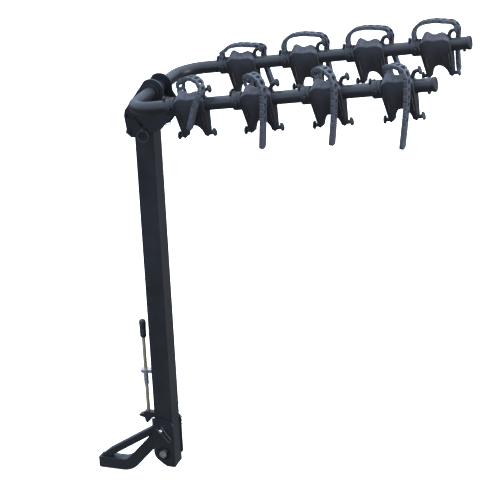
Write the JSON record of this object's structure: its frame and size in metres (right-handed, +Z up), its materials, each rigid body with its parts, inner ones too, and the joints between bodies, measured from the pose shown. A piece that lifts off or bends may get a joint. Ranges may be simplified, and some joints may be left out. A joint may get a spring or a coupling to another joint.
{
  "type": "hitch mounted bike rack",
  "caption": "Hitch mounted bike rack: a tilting square mast carries a folding U-shaped pair of arms with clamp-on cradles and rubber ladder straps.",
  "frame": {"origin": "centre of the outer face of the shank's end plug", "axes": "+Z up along the mast, +X rearward along the arms, +Y across the rack towards the side away from the pin clip at the foot"},
  "size_m": [0.9892, 0.4632, 1.2378],
  "materials": {
    "powder_coat": "satin black powder coat",
    "cradle_plastic": "matte charcoal moulded plastic",
    "strap_rubber": "matte charcoal rubber",
    "bright_zinc": "bright zinc plate",
    "yellow_zinc": "yellow zinc plate",
    "steel_wire": "drawn steel wire"
  },
  "bodies": {
    "hitch_base": {"shank_bar": "powder_coat", "shank_brace": "powder_coat", "shank_end_plug": "cradle_plastic", "bracket_plate_near": "powder_coat", "bracket_plate_far": "powder_coat", "tilt_pivot_bolt": "bright_zinc", "tilt_pivot_washer": "bright_zinc", "tilt_pivot_nut": "bright_zinc", "lanyard_rivet": "bright_zinc"},
    "mast": {"mast_tube": "powder_coat", "mast_top_cap": "cradle_plastic", "fold_pivot_lug": "powder_coat", "rod_guide": "bright_zinc", "guide_sleeve": "bright_zinc", "tilt_pivot_bush": "cradle_plastic"},
    "rod_latch": {"release_rod": "yellow_zinc", "release_grip": "strap_rubber", "latch_foot": "powder_coat"},
    "tilt_pin": {"tilt_lock_pin": "bright_zinc", "tilt_pin_ring": "steel_wire", "tilt_lanyard": "steel_wire"},
    "tilt_clip": {"tilt_pin_clip": "steel_wire"},
    "arm_frame": {"arm_tube": "powder_coat", "head_plate_near": "powder_coat", "head_plate_far": "powder_coat", "head_collar_near": "powder_coat", "head_collar_far": "powder_coat", "fold_pivot_bolt": "powder_coat", "fold_pivot_nut": "powder_coat", "arm_cap_near": "cradle_plastic", "arm_cap_far": "cradle_plastic", "end_button_near": "cradle_plastic", "end_button_far": "cradle_plastic", "cradle_near_1": "cradle_plastic", "cradle_near_2": "cradle_plastic", "cradle_near_3": "cradle_plastic", "cradle_near_4": "cradle_plastic", "cradle_far_1": "cradle_plastic", "cradle_far_2": "cradle_plastic", "cradle_far_3": "cradle_plastic", "cradle_far_4": "cradle_plastic", "strap_near_1": "strap_rubber", "strap_near_2": "strap_rubber", "strap_near_3": "strap_rubber", "strap_near_4": "strap_rubber", "strap_far_1": "strap_rubber", "strap_far_2": "strap_rubber", "strap_far_3": "strap_rubber", "strap_far_4": "strap_rubber", "cradle_screw_near_1": "powder_coat", "cradle_screw_near_2": "powder_coat", "cradle_screw_near_3": "powder_coat", "cradle_screw_near_4": "powder_coat", "cradle_screw_far_1": "powder_coat", "cradle_screw_far_2": "powder_coat", "cradle_screw_far_3": "powder_coat", "cradle_screw_far_4": "powder_coat"},
    "head_pin": {"head_lock_pin": "powder_coat"},
    "head_ring": {"head_pin_ring": "steel_wire"},
    "head_clip": {"head_pin_clip": "steel_wire"}
  },
  "joints": [
    {"name": "mast_tilt", "type": "hinge", "parent": "hitch_base", "child": "mast", "pos_m": [0.202, 0, 0.061], "axis": [0, 1, 0], "range_deg": [0, 40]},
    {"name": "arm_fold", "type": "hinge", "parent": "mast", "child": "arm_frame", "pos_m": [0.166, 0, 0.9614], "axis": [0, 1, 0], "range_deg": [0, 80]},
    {"name": "rod_lift", "type": "slide", "parent": "mast", "child": "rod_latch", "axis": [0, 0, 1], "range_m": [0, 0.03], "stiffness_N_per_m": 300, "springref_m": -0.03},
    {"name": "tilt_pin_pull", "type": "slide", "parent": "hitch_base", "child": "tilt_pin", "axis": [0, 1, 0], "range_m": [0, 0.085]},
    {"name": "tilt_clip_off", "type": "slide", "parent": "hitch_base", "child": "tilt_clip", "axis": [0.6157, 0, -0.788], "range_m": [0, 0.02]},
    {"name": "head_pin_pull", "type": "slide", "parent": "mast", "child": "head_pin", "axis": [0, -1, 0], "range_m": [0, 0.085]},
    {"name": "head_ring_swing", "type": "hinge", "parent": "head_pin", "child": "head_ring", "pos_m": [0.206, -0.0389, 0.968], "axis": [1, 0, 0], "range_deg": [-60, 5]},
    {"name": "head_clip_off", "type": "slide", "parent": "mast", "child": "head_clip", "axis": [1, 0, 0], "range_m": [0, 0.02]}
  ]
}
